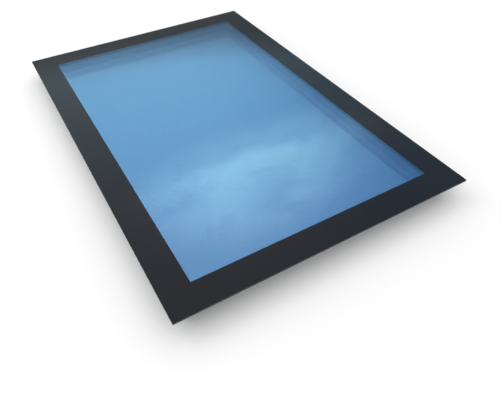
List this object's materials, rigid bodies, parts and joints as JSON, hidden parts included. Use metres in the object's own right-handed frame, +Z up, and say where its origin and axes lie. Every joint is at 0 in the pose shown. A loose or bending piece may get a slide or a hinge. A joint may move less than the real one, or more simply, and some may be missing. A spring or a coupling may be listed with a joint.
{
  "type": "roof skylight",
  "caption": "Fixed flat glass rooflight: a stepped triple-glazed unit with a dark enamelled border, bonded on a slim aluminium kerb frame.",
  "frame": {"origin": "middle of the skirt's lower edge, at the bottom centre of the object's box", "axes": "+X along the short edges, +Y along the long edges, +Z up out of the roof"},
  "size_m": [1, 1.5, 0.0725],
  "materials": {
    "coated_glass": "toughened, blue reflective solar coating",
    "clear_glass": "clear toughened float",
    "enamel": "black ceramic enamel fired on glass",
    "frame_grey": "dark grey powder coat",
    "frame_white": "white powder coat",
    "cleat_aluminium": "mill finish",
    "pin_steel": "zinc plated",
    "break_plastic": "glass-filled polyamide",
    "spacer_metal": "dark anodised",
    "key_plastic": "moulded nylon",
    "desiccant": "drying beads",
    "butyl": "butyl",
    "edge_seal": "silicone",
    "silicone": "tooled structural silicone",
    "tape": "closed-cell foam tape",
    "packer": "blue moulded plastic",
    "gasket": "EPDM rubber"
  },
  "bodies": {
    "root": {"outer_pane": "coated_glass", "enamel_border": "enamel", "middle_pane": "clear_glass", "inner_pane": "clear_glass", "upper_spacer_front": "spacer_metal", "upper_spacer_right": "spacer_metal", "upper_spacer_back": "spacer_metal", "upper_spacer_left": "spacer_metal", "upper_corner_keys": "key_plastic", "upper_desiccant": "desiccant", "upper_butyl_seal": "butyl", "upper_edge_seal": "edge_seal", "lower_spacer_front": "spacer_metal", "lower_spacer_right": "spacer_metal", "lower_spacer_back": "spacer_metal", "lower_spacer_left": "spacer_metal", "lower_corner_keys": "key_plastic", "lower_desiccant": "desiccant", "lower_butyl_seal": "butyl", "lower_edge_seal": "edge_seal", "outer_rail_front": "frame_grey", "inner_rail_front": "frame_white", "upper_break_front": "break_plastic", "lower_break_front": "break_plastic", "outer_rail_right": "frame_grey", "inner_rail_right": "frame_white", "upper_break_right": "break_plastic", "lower_break_right": "break_plastic", "outer_rail_back": "frame_grey", "inner_rail_back": "frame_white", "upper_break_back": "break_plastic", "lower_break_back": "break_plastic", "outer_rail_left": "frame_grey", "inner_rail_left": "frame_white", "upper_break_left": "break_plastic", "lower_break_left": "break_plastic", "outer_cleat_1": "cleat_aluminium", "inner_cleat_1": "cleat_aluminium", "outer_cleat_2": "cleat_aluminium", "inner_cleat_2": "cleat_aluminium", "outer_cleat_3": "cleat_aluminium", "inner_cleat_3": "cleat_aluminium", "outer_cleat_4": "cleat_aluminium", "inner_cleat_4": "cleat_aluminium", "corner_pins": "pin_steel", "structural_silicone": "silicone", "spacer_tape": "tape", "inner_glazing_tape": "tape", "ledge_tape": "tape", "edge_packers": "packer", "seat_gasket": "gasket"}
  },
  "joints": []
}
